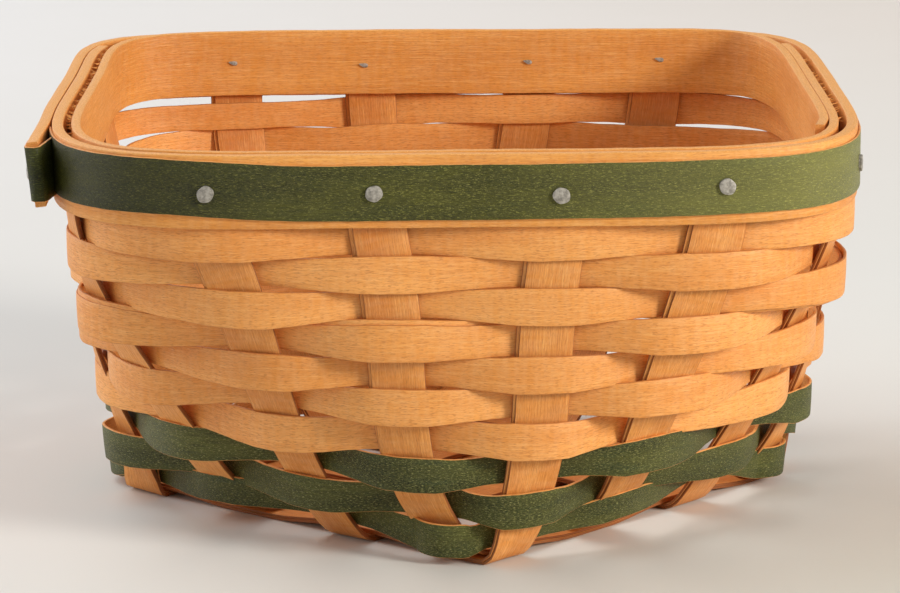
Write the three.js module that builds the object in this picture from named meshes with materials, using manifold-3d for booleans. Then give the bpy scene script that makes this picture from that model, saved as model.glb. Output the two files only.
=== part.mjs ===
import * as THREE from 'three';
import { mergeVertices } from 'three/addons/utils/BufferGeometryUtils.js';
import Module from 'manifold-3d';

// A small open basket of wood splint. Its woven square base is turned an eighth of a turn under a
// square rim, so the walls twist and flare. Millimetres, Z up, X to the right seen from the front.

// Overall size
const rimSide = 216;
const basketHeight = 115;
const baseShare = 0.6111;
const rimCornerRadius = 27;
const baseCornerRadius = 3;

// Splint stock
const stakeWidth = 14.9;
const plyThickness = 0.65;
const weaverWidth = 9;
const lowestWeaverWidth = 8.2;
const weaverThickness = 0.9;
const bandHeight = 19.4;
const innerBandThickness = 2;
const outerBandThickness = 2.2;
const trimHeight = 13.8;
const trimThickness = 1;
const trimDrop = 3.4;

// Clearance that keeps touching pieces apart
const seat = 0.3;

// Tacks
const tackHeadDiameter = 5;
const tackHeadHeight = 1;
const tackShankDiameter = 1.5;
const tackPoint = 1.4;
const tackDrop = 10.2;

// Places of the uprights along each side of the rim, from the middle of the side, as shares of it
const innerPlaceShare = 0.113;
const outerPlaceShare = 0.3167;
const backOuterPlaceShare = 0.3009;

// Weave: rows of weavers, how far the lowest row swings up and down, and how the walls lean
const rows = 10;
const greenRows = 3;
const rowDip = 0.75;
const plateauMargin = 0.8;
const footLift = 1.1;
const stakeTopDrop = 0.6;
const joinHeight = 7;
const wrapShift = 1.3;
const wrapFade = 20;
const underBendStart = 0.9;
const overBendStart = 5.5;
const wallSoftening = 12;
const baseTurn = THREE.MathUtils.degToRad(3);

// Shares that shape the walls: the lean grows as a power of the depth below the rim
const leanPowerShare = 1.24;
const cornerPowerShare = 2.1;
const footShare = 0.03;
const footPowerShare = 10;
const driftPowerShare = 1.09;
const driftFootShare = 0.4;
const driftFootPowerShare = 8;
const softeningPowerShare = 8;

// Sideways sway of each upright at half height, as shares of the stake width
const swayShares = [-0.05, 0.06, -0.04, -0.28, 0.1, 0.03, 0, 0, 0, 0, 0, 0, 0, 0, 0.02, 0.13];

// Rim laps: the outer band and its trim overlap on the left side, the inner band on the right
const bandEndInset = 2;
const innerLapPastTack = 13.4;
const trimTuck = 8.4;
const trimStepClear = 12.4;
const trimStepLength = 11;
const flarePastTack = 2.6;
const freeEndLength = 14;
const flare = 4.3;
const curlRadius = 5;
const curlTurn = THREE.MathUtils.degToRad(80);

// Counts
const stations = 16;
const stationsPerSide = 4;
const bendSteps = 4;
const rampSteps = 3;
const gapSteps = 3;
const cornerGapSteps = 5;
const arcSteps = 6;
const tackSides = 6;
const lapCrossings = 4;
const lowestLapCrossings = 2;
const lapStations = [10, 7, 12, 9, 6, 11, 8, 5, 2, 15];

// Sizes that follow from the ones above
const innerPlace = innerPlaceShare * rimSide;
const outerPlace = outerPlaceShare * rimSide;
const outerPlaceBack = backOuterPlaceShare * rimSide;
const stakeThickness = 2 * plyThickness + seat;
const plyOffset = (plyThickness + seat) / 2;
const outerStack = trimThickness + seat + outerBandThickness + seat + stakeThickness / 2;
const rimHalf = rimSide / 2 - outerStack;
const rimRadius = rimCornerRadius - outerStack;
const baseHalf = baseShare * rimSide / 2;
const outerLane = baseHalf - stakeWidth / 2;
const laneShares = [-1, -1 / 3, 1 / 3, 1];
const bandBottom = basketHeight - bandHeight;
const stakeTop = basketHeight - stakeTopDrop;
const tackHeight = basketHeight - tackDrop;
const rowPitch = weaverWidth + seat;
const topRow = bandBottom - seat - weaverWidth / 2;
const weaveOffset = stakeThickness / 2 + seat + weaverThickness / 2;
const layerShift = (weaverThickness + seat) / 2;
const lowLevel = stakeThickness / 2;
const highLevel = lowLevel + stakeThickness + seat;
const probe = seat / 2;
const angleProbe = 0.002;

const tan = { color: 0xd9924c, roughness: 0.62, metalness: 0 };
const paleTan = { color: 0xe0a05c, roughness: 0.6, metalness: 0 };
const green = { color: 0x3d5a3a, roughness: 0.7, metalness: 0 };
const steel = { color: 0x9b9a94, roughness: 0.4, metalness: 0.9 };

const wasm = await Module();
wasm.setup();

const basket = new THREE.Group();

function mix(from, to, share) {
  return from + (to - from) * share;
}

function smooth(share) {
  return 0.5 - 0.5 * Math.cos(Math.PI * THREE.MathUtils.clamp(share, 0, 1));
}

function direction(angle) {
  return new THREE.Vector3(Math.cos(angle), Math.sin(angle), 0);
}

// Distance from the axis to a square with round corners, along a direction
function squareRadius(angle, half, corner) {
  const quarter = Math.PI / 2;
  const turn = Math.abs(angle - quarter * Math.round(angle / quarter));
  const flat = half - corner;
  if (half * Math.tan(turn) <= flat) return half / Math.cos(turn);
  const along = flat * (Math.cos(turn) + Math.sin(turn));
  return along + Math.sqrt(along * along - 2 * flat * flat + corner * corner);
}

function depthShareAt(z) {
  return THREE.MathUtils.clamp(1 - z / bandBottom, 0, 1);
}

// The middle surface of the wall: the rim's square above blends into the turned square of the base
function wallRadius(angle, z) {
  const share = depthShareAt(z);
  const facing = angle - Math.PI / 4 - baseTurn;
  const cornerShare = 0.5 - 0.5 * Math.cos(4 * facing);
  const power = leanPowerShare + cornerPowerShare * cornerShare;
  const lean = (1 - footShare) * share ** power + footShare * share ** footPowerShare;
  const softCorner = baseCornerRadius + wallSoftening * (1 - share ** softeningPowerShare);
  const rim = squareRadius(angle, rimHalf, rimRadius);
  const base = squareRadius(facing, baseHalf, softCorner);
  return mix(rim, base, lean);
}

function wallPoint(angle, z) {
  return direction(angle).multiplyScalar(wallRadius(angle, z)).setZ(z);
}

// Level tangent of the wall, counterclockwise seen from above
function wallTangent(angle, z) {
  const ahead = wallPoint(angle + angleProbe, z);
  return ahead.sub(wallPoint(angle - angleProbe, z)).normalize();
}

// The sixteen uprights, counterclockwise from the front left: where each stands at the rim and
// at the base. Even ones wrap under the edge strip of the base, odd ones come over it.
function makeStation(index) {
  const rimTurn = Math.floor(index / stationsPerSide);
  const outer = rimTurn === 2 ? outerPlaceBack : outerPlace;
  const rimPlace = [-outer, -innerPlace, innerPlace, outer][index % stationsPerSide];
  const baseIndex = (index + stations - 2) % stations;
  const lane = outerLane * laneShares[baseIndex % stationsPerSide];
  const rimNormal = (rimTurn - 1) * Math.PI / 2;
  const baseNormal = baseTurn - Math.PI / 4 + Math.floor(baseIndex / stationsPerSide) * Math.PI / 2;
  const rimAngle = rimNormal + Math.atan2(rimPlace, rimHalf);
  const rawAngle = baseNormal + Math.atan2(lane, baseHalf);
  const wholeTurns = Math.round((rawAngle - rimAngle) / (2 * Math.PI));
  return {
    index,
    under: index % 2 === 0,
    baseNormal,
    lane,
    rimAngle,
    rimNormal,
    rimPlace,
    baseAngle: rawAngle - wholeTurns * 2 * Math.PI,
    sway: swayShares[index] * stakeWidth / rimHalf,
  };
}

const uprights = Array.from({ length: stations }, (unused, index) => makeStation(index));

function uprightAngle(upright, z) {
  const share = depthShareAt(z);
  const foot = driftFootShare * share ** driftFootPowerShare;
  const drift = (1 - driftFootShare) * share ** driftPowerShare + foot;
  return mix(upright.rimAngle, upright.baseAngle, drift) + upright.sway * Math.sin(Math.PI * share);
}

function uprightPoint(upright, z) {
  const angle = uprightAngle(upright, z);
  const outward = wallTangent(angle, z).cross(new THREE.Vector3(0, 0, 1));
  const fade = 1 - smooth((z - joinHeight) / (wrapFade - joinHeight));
  const shift = upright.under ? wrapShift : -wrapShift;
  return wallPoint(angle, z).addScaledVector(outward, shift * fade);
}

// Point, level direction, outward normal and upward direction of an upright's face at a height
function smoothFrame(upright, z) {
  const point = uprightPoint(upright, z);
  const along = wallTangent(uprightAngle(upright, z), z);
  const rise = uprightPoint(upright, z + probe).sub(uprightPoint(upright, z - probe)).normalize();
  const normal = along.clone().cross(rise).normalize();
  return { point, along, rise, normal, up: normal.clone().cross(along).normalize() };
}

// Uprights run straight from one row line to the next, so weavers can lie flat on them
function rowLine(line) {
  return topRow + rowPitch / 2 - line * rowPitch;
}

const knots = uprights.map((upright) => (
  Array.from({ length: rows + 1 }, (unused, line) => smoothFrame(upright, rowLine(line)))
));

function uprightFrame(upright, z) {
  const place = (rowLine(0) - z) / rowPitch;
  if (place <= 0) return smoothFrame(upright, z);
  const line = Math.min(Math.floor(place), rows - 1);
  const [above, below] = knots[upright.index].slice(line, line + 2);
  const frame = {};
  for (const key of ['point', 'along', 'rise', 'normal', 'up']) {
    frame[key] = above[key].clone().lerp(below[key], place - line);
    if (key !== 'point') frame[key].normalize();
  }
  return frame;
}

function levelOutward(frame) {
  return frame.normal.clone().setZ(0).normalize();
}

// Half of the level width of an upright that leans sideways
function levelReach(frame) {
  const lean = frame.rise.dot(frame.along);
  return stakeWidth / 2 / Math.sqrt(1 - lean * lean);
}

// A strip of wood swept along a list of places. Each place holds the two edges of the strip's
// middle surface and the outward normal there.
function ribbon(places, thickness, offset) {
  const positions = [];
  for (const { minus, plus, minusNormal, plusNormal } of places) {
    const corners = [[plus, plusNormal, 1], [minus, minusNormal, 1], [minus, minusNormal, -1]];
    corners.push([plus, plusNormal, -1]);
    for (const [edge, normal, face] of corners) {
      positions.push(...edge.clone().addScaledVector(normal, offset + face * thickness / 2));
    }
  }
  const indices = [];
  for (let i = 0; i < places.length - 1; i += 1) {
    const [a, b, c, d] = [0, 1, 2, 3].map((corner) => i * 4 + corner);
    indices.push(a, b, a + 4, b, b + 4, a + 4);
    indices.push(b, c, c + 4, b, c + 4, b + 4);
    indices.push(c, d, d + 4, c, d + 4, c + 4);
    indices.push(d, a, a + 4, d, a + 4, d + 4);
  }
  const last = (places.length - 1) * 4;
  indices.push(0, 2, 1, 0, 3, 2);
  indices.push(last, last + 1, last + 2, last, last + 2, last + 3);
  const geometry = new THREE.BufferGeometry();
  geometry.setAttribute('position', new THREE.Float32BufferAttribute(positions, 3));
  geometry.setIndex(indices);
  return facingOut(geometry);
}

// Edges of a strip from its middle line and width direction; the normals follow from the travel
function edged(places, width) {
  return places.map((place, i) => {
    const before = places[Math.max(i - 1, 0)].point;
    const after = places[Math.min(i + 1, places.length - 1)].point;
    const tangent = place.tangent ?? after.clone().sub(before).normalize();
    const normal = place.across.clone().cross(tangent).normalize();
    const half = (place.width ?? width) / 2;
    return {
      minus: place.point.clone().addScaledVector(place.across, -half),
      plus: place.point.clone().addScaledVector(place.across, half),
      minusNormal: normal,
      plusNormal: normal,
    };
  });
}

function signedVolume(geometry) {
  const position = geometry.getAttribute('position');
  const index = geometry.getIndex();
  const [a, b, c] = [new THREE.Vector3(), new THREE.Vector3(), new THREE.Vector3()];
  let volume = 0;
  for (let i = 0; i < index.count; i += 3) {
    a.fromBufferAttribute(position, index.getX(i));
    b.fromBufferAttribute(position, index.getX(i + 1));
    c.fromBufferAttribute(position, index.getX(i + 2));
    volume += a.dot(b.cross(c)) / 6;
  }
  return volume;
}

function facingOut(geometry) {
  if (signedVolume(geometry) < 0) {
    const flipped = Array.from(geometry.getIndex().array).reverse();
    geometry.setIndex(flipped);
  }
  return geometry;
}

function toManifold(geometry) {
  const bare = geometry.clone();
  bare.deleteAttribute('normal');
  bare.deleteAttribute('uv');
  const merged = mergeVertices(bare);
  return new wasm.Manifold(new wasm.Mesh({
    numProp: 3,
    vertProperties: new Float32Array(merged.getAttribute('position').array),
    triVerts: new Uint32Array(merged.getIndex().array),
  }));
}

function fromManifold(solid) {
  const mesh = solid.getMesh();
  const geometry = new THREE.BufferGeometry();
  geometry.setAttribute('position', new THREE.Float32BufferAttribute(mesh.vertProperties, 3));
  geometry.setIndex(Array.from(mesh.triVerts));
  return geometry;
}

// A round hole through every layer of the rim for the tack at each given upright
function drillFor(geometry, drilled) {
  let solid = toManifold(geometry);
  const reach = 2 * outerStack;
  for (const upright of drilled) {
    const radius = tackShankDiameter / 2 + seat;
    const bore = new THREE.CylinderGeometry(radius, radius, 2 * reach, tackSides);
    bore.applyQuaternion(tackAttitude(upright));
    const place = uprightPoint(upright, tackHeight);
    bore.translate(place.x, place.y, place.z);
    solid = solid.subtract(toManifold(bore));
  }
  return fromManifold(solid);
}

function tackAttitude(upright) {
  const outward = direction(upright.rimNormal);
  return new THREE.Quaternion().setFromUnitVectors(new THREE.Vector3(0, 1, 0), outward);
}

function addPiece(name, geometry, finish) {
  geometry.computeVertexNormals();
  const mesh = new THREE.Mesh(geometry, new THREE.MeshStandardMaterial(finish));
  mesh.name = name;
  basket.add(mesh);
  return mesh;
}

// Cubic curve between two places with given end directions
function hermite(from, fromWay, to, toWay, share) {
  const square = share * share;
  const cube = square * share;
  return new THREE.Vector3()
    .addScaledVector(from, 2 * cube - 3 * square + 1)
    .addScaledVector(fromWay, cube - 2 * square + share)
    .addScaledVector(to, 3 * square - 2 * cube)
    .addScaledVector(toWay, cube - square);
}

// Stakes: each is one strip of two plies that comes down one wall, crosses the base in a plain
// weave and goes up the opposite wall to the rim.
function wallPlaces(upright, sign) {
  const heights = [stakeTop, bandBottom];
  for (let line = 0; line < rows; line += 1) heights.push(rowLine(line));
  heights.push(joinHeight);
  return heights.map((z) => {
    const frame = uprightFrame(upright, z);
    return {
      point: frame.point,
      across: frame.along.multiplyScalar(sign),
      tangent: frame.rise.multiplyScalar(sign),
      width: 2 * levelReach(frame),
    };
  });
}

function bendPlaces(wallEnd, baseEnd) {
  const span = wallEnd.point.distanceTo(baseEnd.point);
  const fromWay = wallEnd.tangent.clone().multiplyScalar(span);
  const toWay = baseEnd.tangent.clone().multiplyScalar(span);
  const places = [];
  for (let i = 1; i < bendSteps + 1; i += 1) {
    const share = i / (bendSteps + 1);
    const point = hermite(wallEnd.point, fromWay, baseEnd.point, toWay, share);
    const across = wallEnd.across.clone().lerp(baseEnd.across, share).normalize();
    places.push({ point, across, width: mix(wallEnd.width, stakeWidth, share) });
  }
  return places;
}

function basePlaces(near, isUnder) {
  const inward = direction(near.baseNormal).negate();
  const across = inward.clone().cross(new THREE.Vector3(0, 0, 1)).negate();
  const lane = across.clone().multiplyScalar(-near.lane);
  const flat = stakeWidth / 2 + plateauMargin;
  const levels = laneShares.map((share, cross) => (isUnder(cross) ? lowLevel : highLevel));
  const lead = laneShares.map((share, cross) => (isUnder(cross) ? underBendStart : overBendStart));
  const marks = [];
  laneShares.forEach((share, cross) => {
    const middle = outerLane * share;
    const start = cross === 0 ? lead[cross] - baseHalf : middle - flat;
    const end = cross === stationsPerSide - 1 ? baseHalf - lead[cross] : middle + flat;
    if (cross > 0) {
      const previous = marks[marks.length - 1];
      for (let i = 1; i < rampSteps; i += 1) {
        const travel = mix(previous.travel, start, i / rampSteps);
        const level = mix(levels[cross - 1], levels[cross], smooth(i / rampSteps));
        marks.push({ travel, level });
      }
    }
    for (const travel of [start, end]) {
      marks.push({ travel, level: levels[cross], tangent: inward.clone() });
    }
  });
  return marks.map(({ travel, level, tangent }) => ({
    point: lane.clone().addScaledVector(inward, travel).setZ(level),
    across: across.clone(),
    tangent,
  }));
}

function addStake(family, number, near, far) {
  const familyShift = family === 'a' ? 0 : 1;
  const isUnder = (cross) => (number + cross + 1 + familyShift) % 2 === 0;
  const down = wallPlaces(near, -1);
  const up = wallPlaces(far, 1).reverse();
  const base = basePlaces(near, isUnder);
  const firstBend = bendPlaces(down[down.length - 1], base[0]);
  const lastBend = bendPlaces(reversed(up[0]), reversed(base[base.length - 1])).reverse();
  const places = [...down, ...firstBend, ...base, ...lastBend, ...up];
  const name = `stake_${family}${number}`;
  const edges = edged(places, stakeWidth);
  const outer = ribbon(edges, plyThickness, plyOffset);
  const inner = ribbon(edges, plyThickness, -plyOffset);
  addPiece(`${name}_outer_ply`, drillFor(outer, [near, far]), tan);
  addPiece(`${name}_inner_ply`, drillFor(inner, [near, far]), tan);
}

function reversed(place) {
  return { ...place, tangent: place.tangent.clone().negate() };
}

for (let number = 1; number <= stationsPerSide; number += 1) {
  addStake('a', number, uprights[1 + number], uprights[stations - 2 - number]);
  addStake('b', number, uprights[(stations + 2 - number) % stations], uprights[5 + number]);
}

// Weavers: each row is one strip that passes outside and inside the uprights by turns and laps
// its own start, lying flat on every upright and bending only in the gaps between them.
function crossing(row, start, step, lap) {
  const upright = uprights[(start + step) % stations];
  const outside = (upright.index + row) % 2 === 1 ? 1 : -1;
  const upperEdge = rowLine(row - 1) - seat / 2;
  let offset = outside * weaveOffset;
  if (step < lap) offset = outside * (weaveOffset + layerShift) - layerShift;
  if (step >= stations) offset = outside * (weaveOffset + layerShift) + layerShift;
  return {
    outside,
    offset,
    foot: row === rows ? outside * footLift : 0,
    minus: uprightFrame(upright, upperEdge - (row === rows ? lowestWeaverWidth : weaverWidth)),
    plus: uprightFrame(upright, upperEdge),
  };
}

function onUpright(crossed, dip, way) {
  const place = {};
  for (const edge of ['minus', 'plus']) {
    const { point, along, normal, up } = crossed[edge];
    const reach = levelReach(crossed[edge]) + plateauMargin;
    const spot = point.clone().addScaledVector(along, way * reach);
    spot.addScaledVector(normal, crossed.offset).addScaledVector(up, -dip * crossed.outside);
    if (edge === 'minus') spot.addScaledVector(levelOutward(crossed.minus), crossed.foot);
    place[edge] = spot;
    place[`${edge}Normal`] = normal;
  }
  return place;
}

function inGap(here, next, dip, share) {
  const place = {};
  const side = mix(here.outside, next.outside, smooth(share));
  const offset = mix(here.offset, next.offset, smooth(share));
  const foot = mix(here.foot, next.foot, smooth(share));
  for (const edge of ['minus', 'plus']) {
    const [from, to] = [here[edge], next[edge]];
    const leave = from.point.clone().addScaledVector(from.along, levelReach(from) + plateauMargin);
    const reach = levelReach(to) + plateauMargin;
    const arrive = to.point.clone().addScaledVector(to.along, -reach);
    const span = leave.distanceTo(arrive);
    const fromWay = from.along.clone().multiplyScalar(span);
    const toWay = to.along.clone().multiplyScalar(span);
    const normal = from.normal.clone().lerp(to.normal, share).normalize();
    const up = from.up.clone().lerp(to.up, share).normalize();
    const spot = hermite(leave, fromWay, arrive, toWay, share);
    spot.addScaledVector(normal, offset).addScaledVector(up, -dip * side ** 3);
    if (edge === 'minus') spot.addScaledVector(levelOutward({ normal }), foot);
    place[edge] = spot;
    place[`${edge}Normal`] = normal;
  }
  return place;
}

function weaverPlaces(row) {
  const lap = row === rows ? lowestLapCrossings : lapCrossings;
  const dip = rowDip * (row - 1) / (rows - 1);
  const crossings = [];
  for (let step = 0; step < stations + lap; step += 1) {
    crossings.push(crossing(row, lapStations[row - 1], step, lap));
  }
  const places = [];
  crossings.forEach((here, step) => {
    places.push(onUpright(here, dip, -1), onUpright(here, dip, 1));
    if (step === crossings.length - 1) return;
    const next = crossings[step + 1];
    const turn = here.plus.along.angleTo(next.plus.along);
    const steps = turn > Math.PI / 5 ? cornerGapSteps : gapSteps;
    for (let i = 1; i < steps; i += 1) places.push(inGap(here, next, dip, i / steps));
  });
  return places;
}

for (let row = 1; row <= rows; row += 1) {
  const finish = row > rows - greenRows ? green : paleTan;
  const name = `weaver_${String(row).padStart(2, '0')}`;
  addPiece(name, ribbon(weaverPlaces(row), weaverThickness, 0), finish);
}

// Rim bands: strips on edge that run round the stake tops. Travel starts at the back of the left
// side and goes counterclockwise seen from above, over the same side again past a whole turn.
const straight = 2 * (rimHalf - rimRadius);
const arc = rimRadius * Math.PI / 2;
const sideTravel = straight + arc;
const fullTravel = 4 * sideTravel;

function rimPlace(travel, offset) {
  const side = Math.floor(travel / sideTravel);
  const rest = travel - side * sideTravel;
  const facing = Math.PI + side * Math.PI / 2;
  const outward = direction(facing);
  const along = direction(facing + Math.PI / 2);
  const flat = rimHalf - rimRadius;
  if (rest <= straight) {
    const point = outward.clone().multiplyScalar(rimHalf + offset).addScaledVector(along, rest - flat);
    return { point, tangent: along };
  }
  const turn = (rest - straight) / rimRadius;
  const centre = outward.multiplyScalar(flat).addScaledVector(along, flat);
  const bent = direction(facing + turn);
  const point = centre.addScaledVector(bent, rimRadius + offset);
  return { point, tangent: direction(facing + turn + Math.PI / 2) };
}

// Stops between two travels: the ends of every straight, points round every corner and extras
function rimStops(from, to, extras) {
  const stops = [from, to, ...extras];
  for (let side = 0; side * sideTravel < to; side += 1) {
    const start = side * sideTravel;
    for (let i = 0; i <= arcSteps; i += 1) {
      stops.push(start + straight + arc * i / arcSteps);
    }
  }
  const inside = stops.filter((stop) => stop >= from && stop <= to);
  return inside.sort((a, b) => a - b).filter((stop, i) => i === 0 || stop - inside[i - 1] > seat);
}

function rimStrip(stops, offsetAt, middleHeight, height, thickness, tail) {
  const places = stops.map((travel) => {
    const { point } = rimPlace(travel, offsetAt(travel));
    return { point: point.setZ(middleHeight), across: new THREE.Vector3(0, 0, 1) };
  });
  for (const point of tail) {
    places.push({ point: point.setZ(middleHeight), across: new THREE.Vector3(0, 0, 1) });
  }
  return drillFor(ribbon(edged(places, height), thickness, 0), uprights);
}

function stepUp(travel, from, to) {
  return smooth((travel - from) / (to - from));
}

const firstTackTravel = straight / 2 - outerPlace;
const lastTackTravel = straight / 2 + outerPlace;
const innerLapStart = firstTackTravel + innerLapPastTack;
const trimLapStart = lastTackTravel - trimTuck;
const trimStepEnd = lastTackTravel - trimStepClear;
const trimStepStart = trimStepEnd - trimStepLength;
const flareStart = lastTackTravel + flarePastTack;
const lapLift = outerBandThickness + seat;
const trimLift = trimThickness + seat;
const secondLayer = fullTravel;
const outerOffset = stakeThickness / 2 + seat + outerBandThickness / 2;
const trimOffset = outerOffset + outerBandThickness / 2 + seat + trimThickness / 2;
const innerOffset = -(stakeThickness / 2 + seat + innerBandThickness / 2);

function lapOffset(travel) {
  const lap = lapLift * stepUp(travel, fullTravel - arc, fullTravel);
  const overTrim = trimLift * stepUp(travel, secondLayer + trimStepStart, secondLayer + trimStepEnd);
  const open = Math.max(travel - secondLayer - flareStart, 0);
  const flareLength = straight + freeEndLength - flareStart;
  return lap + overTrim + flare * (open / flareLength) ** 2;
}

// Past the last corner the free end runs on straight instead of turning to the front
function freeEnd(baseOffset, travels) {
  return travels.map((travel) => {
    const place = rimPlace(straight, baseOffset + lapOffset(secondLayer + travel));
    return place.point.addScaledVector(place.tangent, travel - straight);
  });
}

const endTravel = straight + freeEndLength;
const leftEnd = secondLayer + straight;
const lapStops = [
  secondLayer + trimStepStart,
  secondLayer + (trimStepStart + trimStepEnd) / 2,
  secondLayer + trimStepEnd,
  secondLayer + flareStart,
];
const bandMiddle = basketHeight - bandHeight / 2;
const trimMiddle = basketHeight - trimDrop - trimHeight / 2;
const freeStops = [straight + freeEndLength / 2, endTravel];

const outerBand = rimStrip(
  rimStops(bandEndInset, leftEnd, lapStops),
  (travel) => outerOffset + lapOffset(travel),
  bandMiddle, bandHeight, outerBandThickness, freeEnd(outerOffset, freeStops),
);
addPiece('outer_band', outerBand, tan);

const innerLapTravel = 2 * sideTravel + innerLapStart;
const innerBack = 2 * sideTravel + straight;
const innerBand = rimStrip(
  rimStops(innerLapTravel, fullTravel + innerBack - bandEndInset, []),
  (travel) => innerOffset - (innerBandThickness + seat) * (1 - stepUp(travel, innerBack, innerBack + arc)),
  bandMiddle, bandHeight, innerBandThickness, [],
);
addPiece('inner_band', innerBand, tan);

// The trim runs on past the end of the band and curls round towards the front
function curl(start) {
  const points = [];
  const centre = start.clone();
  centre.x += curlRadius;
  for (let i = 1; i <= gapSteps; i += 1) {
    const turn = Math.PI + curlTurn * i / gapSteps;
    points.push(centre.clone().addScaledVector(direction(turn), curlRadius));
  }
  return points;
}

const trimFree = freeEnd(trimOffset, freeStops);
const trimStrip = rimStrip(
  rimStops(trimLapStart, leftEnd, lapStops),
  (travel) => trimOffset + lapOffset(travel),
  trimMiddle, trimHeight, trimThickness, [...trimFree, ...curl(trimFree[trimFree.length - 1])],
);
addPiece('trim_strip', trimStrip, green);

// Tacks: driven from outside through every layer of the rim at each upright, head on the trim
function addTack(upright) {
  const side = Math.floor(upright.index / stationsPerSide);
  const sideNames = ['front', 'right', 'back', 'left'];
  const leftTravel = rimHalf - rimRadius + upright.rimPlace;
  const lift = side === 3 ? lapOffset(secondLayer + leftTravel) : 0;
  const doubled = side === 1 && upright.rimPlace > innerLapStart - straight / 2;
  const depth = doubled ? innerBandThickness + seat : 0;
  const headSeat = trimOffset + trimThickness / 2 + seat + lift;
  const length = headSeat - innerOffset + innerBandThickness / 2 + depth + tackPoint;
  const shank = tackShankDiameter / 2;
  const head = tackHeadDiameter / 2;
  const profile = [
    new THREE.Vector2(0, -length),
    new THREE.Vector2(shank, tackPoint - length),
    new THREE.Vector2(shank, 0),
    new THREE.Vector2(head, 0),
    new THREE.Vector2(head, tackHeadHeight / 2),
    new THREE.Vector2(0, tackHeadHeight),
  ];
  const mesh = addPiece(
    `tack_${sideNames[side]}_${upright.index % stationsPerSide + 1}`,
    facingOut(mergeVertices(new THREE.LatheGeometry(profile, tackSides))),
    steel,
  );
  mesh.quaternion.copy(tackAttitude(upright));
  mesh.position.copy(uprightPoint(upright, tackHeight));
  mesh.position.addScaledVector(direction(upright.rimNormal), headSeat);
}

uprights.forEach(addTack);

// The free end of the rim widens the basket on one side: the origin is the middle of the whole
basket.updateMatrixWorld(true);
const bounds = new THREE.Box3().setFromObject(basket, true);
const middle = bounds.getCenter(new THREE.Vector3());
basket.position.set(-middle.x, -middle.y, -bounds.min.z);

export default basket;
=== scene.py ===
import math

import bmesh
import bpy
import numpy as np
from mathutils import Matrix, Vector


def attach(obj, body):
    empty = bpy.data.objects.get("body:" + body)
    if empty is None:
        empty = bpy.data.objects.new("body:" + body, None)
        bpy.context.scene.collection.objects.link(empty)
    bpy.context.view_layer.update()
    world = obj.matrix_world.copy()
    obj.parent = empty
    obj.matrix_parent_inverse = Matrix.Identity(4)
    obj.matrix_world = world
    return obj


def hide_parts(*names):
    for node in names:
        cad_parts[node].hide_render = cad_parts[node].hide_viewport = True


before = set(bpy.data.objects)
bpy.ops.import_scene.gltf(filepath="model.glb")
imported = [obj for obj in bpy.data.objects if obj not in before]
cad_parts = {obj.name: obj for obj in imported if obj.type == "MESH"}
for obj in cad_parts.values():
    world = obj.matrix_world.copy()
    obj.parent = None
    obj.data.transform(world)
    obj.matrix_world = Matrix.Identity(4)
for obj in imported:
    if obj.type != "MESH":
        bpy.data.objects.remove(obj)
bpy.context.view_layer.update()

# Camera. It stands in front of the basket, a little to the left of its middle and well above it,
# and looks slightly down through a long lens, as the photograph was taken.
EYE = Vector((-0.0310, -1.3063, 0.3285))
LOOK_RIGHT = 0.0250
LOOK_DOWN = 0.2069
CAMERA_ROLL = -0.0034
LENS_MM = 187.38
SENSOR_MM = 36

ahead = Vector((
    math.sin(LOOK_RIGHT) * math.cos(LOOK_DOWN),
    math.cos(LOOK_RIGHT) * math.cos(LOOK_DOWN),
    -math.sin(LOOK_DOWN),
))
level_right = Vector((math.cos(LOOK_RIGHT), -math.sin(LOOK_RIGHT), 0))
level_up = level_right.cross(ahead)
picture_right = math.cos(CAMERA_ROLL) * level_right + math.sin(CAMERA_ROLL) * level_up
picture_up = math.cos(CAMERA_ROLL) * level_up - math.sin(CAMERA_ROLL) * level_right
camera_data = bpy.data.cameras.new("camera")
camera_data.lens = LENS_MM
camera_data.sensor_width = SENSOR_MM
camera = bpy.data.objects.new("camera", camera_data)
bpy.context.scene.collection.objects.link(camera)
turned = Matrix((picture_right, picture_up, -ahead)).transposed().to_4x4()
camera.matrix_world = Matrix.Translation(EYE) @ turned
bpy.context.scene.camera = camera


# Stakes. Eight strips of two plies of thin tan splint, cut with the grain along them. Each comes
# down one wall, crosses the base over and under the others and goes up the wall opposite. The
# plies lie face to face, the inner one a little to one side, and end between the rim bands.
MM = 0.001
RIM_SIDE = 216.0
BASKET_HEIGHT = 115.0
BAND_HEIGHT = 19.4
BAND_BOTTOM = BASKET_HEIGHT - BAND_HEIGHT
CENTRE_X = 3.396
STAKE_WIDTH = 14.4
STAKE_THICKNESS = 1.6
OUTER_STACK = 4.6

# The rim, first as the plain rounded square it was bent to and then as it was pulled since.
RIM_HALF = RIM_SIDE / 2 - OUTER_STACK
RIM_RADIUS = 27 - OUTER_STACK
RIM_LEFT = 105.1
RIM_RIGHT = 104.1
RIM_FRONT = 106.0
RIM_BACK = 100.0
FRONT_SQUARENESS = 5.2
BACK_SQUARENESS = 6.6
BACKWARD_SPREAD = 0.6
LEFT_SKEW = 0.05
BACK_SKEW = 0.03

# The base, a square turned under the rim, and how the walls flare from it.
BASE_HALF = 0.6111 * RIM_SIDE / 2
BASE_TURN = math.radians(3)
BASE_CORNER = 3.0
WALL_SOFTENING = 12.0
SOFTENING_POWER = 8
FLARE_POWER = 1.24
CORNER_POWER = 2.1
KICK_SHARE = 0.03
KICK_POWER = 10

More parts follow.
